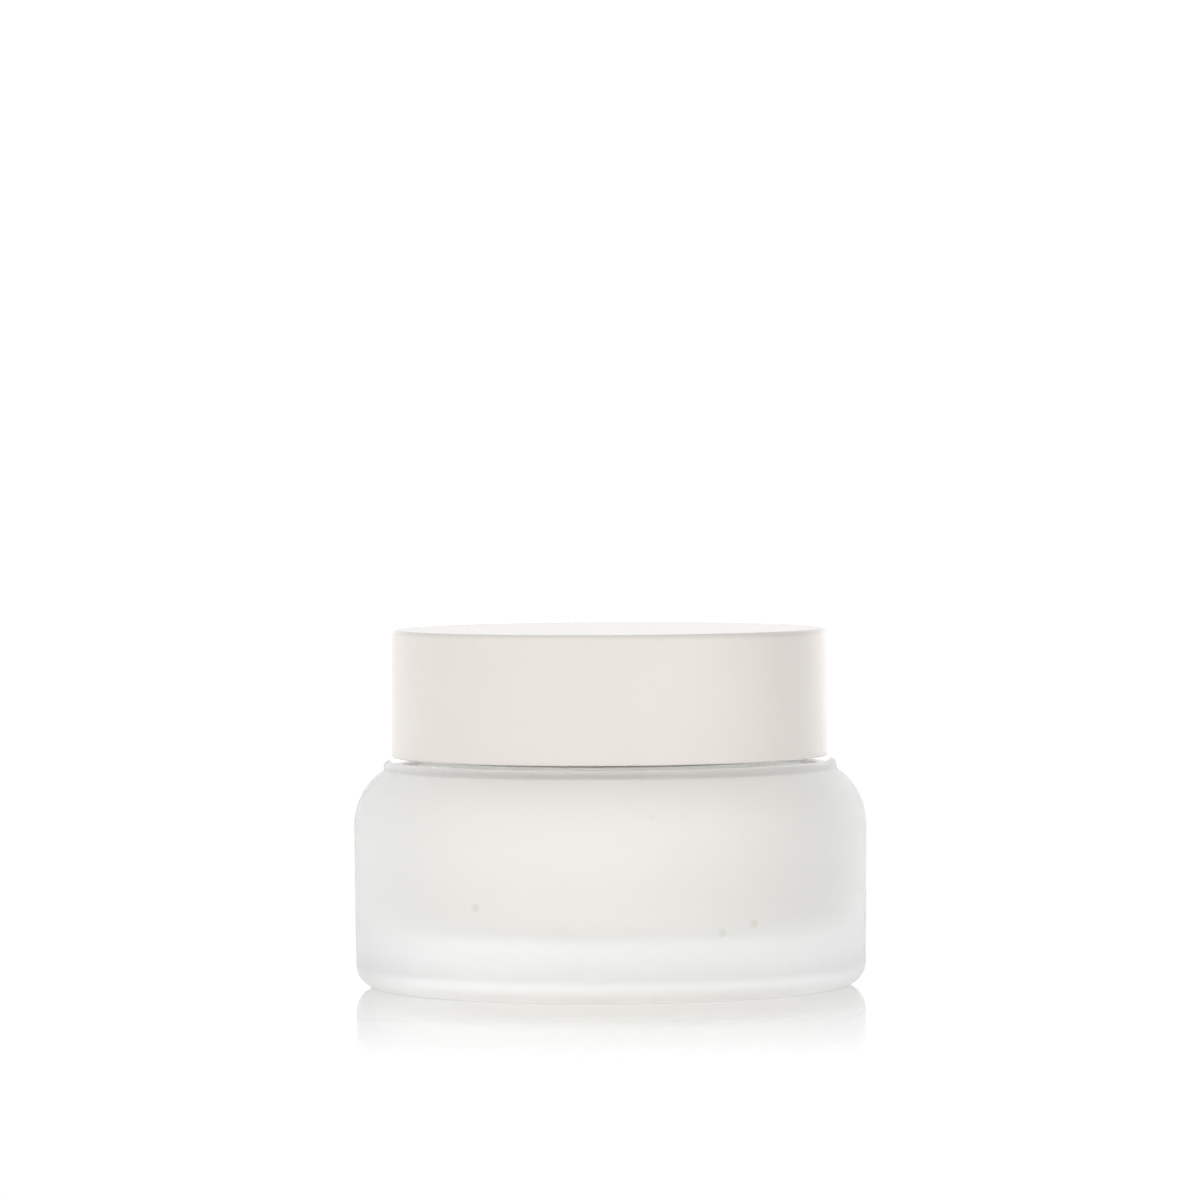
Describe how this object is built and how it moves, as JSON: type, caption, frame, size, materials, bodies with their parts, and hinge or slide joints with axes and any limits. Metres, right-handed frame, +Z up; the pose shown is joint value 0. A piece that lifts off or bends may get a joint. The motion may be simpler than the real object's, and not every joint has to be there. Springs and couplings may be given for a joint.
{
  "type": "cosmetic cream jar",
  "caption": "Squat round frosted glass jar with a thick base and rounded shoulder, filled with cream and closed by a smooth flat screw cap over a lift-out sealing disc.",
  "frame": {"origin": "centre of the bearing ring under the base, on the plane that the jar stands on", "axes": "+Z up along the axis of the jar and cap; X and Y lie in the plane of the base"},
  "size_m": [0.066, 0.066, 0.046],
  "materials": {
    "frosted_glass": "acid-frosted outside, fire-polished inside",
    "cream": "soft moist sheen",
    "disc_plastic": "milky translucent polyethylene",
    "liner_foam": "fine-celled foam with a smooth skin",
    "insert_plastic": "as moulded, semi-gloss",
    "shell_plastic": "ivory, fine satin texture"
  },
  "bodies": {
    "jar": {"glass_jar": "frosted_glass", "cream": "cream"},
    "sealing_disc": {"sealing_disc": "disc_plastic"},
    "liner": {"cap_liner": "liner_foam"},
    "cap": {"cap_insert": "insert_plastic", "cap_shell": "shell_plastic"}
  },
  "joints": [
    {"name": "cap_rise", "type": "slide", "parent": "jar", "child": "liner", "axis": [0, 0, 1], "range_m": [0, 0.0126]},
    {"name": "cap_turn", "type": "hinge", "parent": "liner", "child": "cap", "pos_m": [0, 0, 0.036], "axis": [0, 0, 1], "range_deg": [0, 1080]},
    {"name": "disc_lift", "type": "slide", "parent": "jar", "child": "sealing_disc", "axis": [0, 0, 1], "range_m": [0, 0.005]}
  ],
  "couplings": [
    {"joint": "cap_rise", "follows": "cap_turn", "m_per_rad": 0.00066845},
    {"joint": "disc_lift", "follows": "cap_turn", "m_per_rad": 0.00026525}
  ]
}
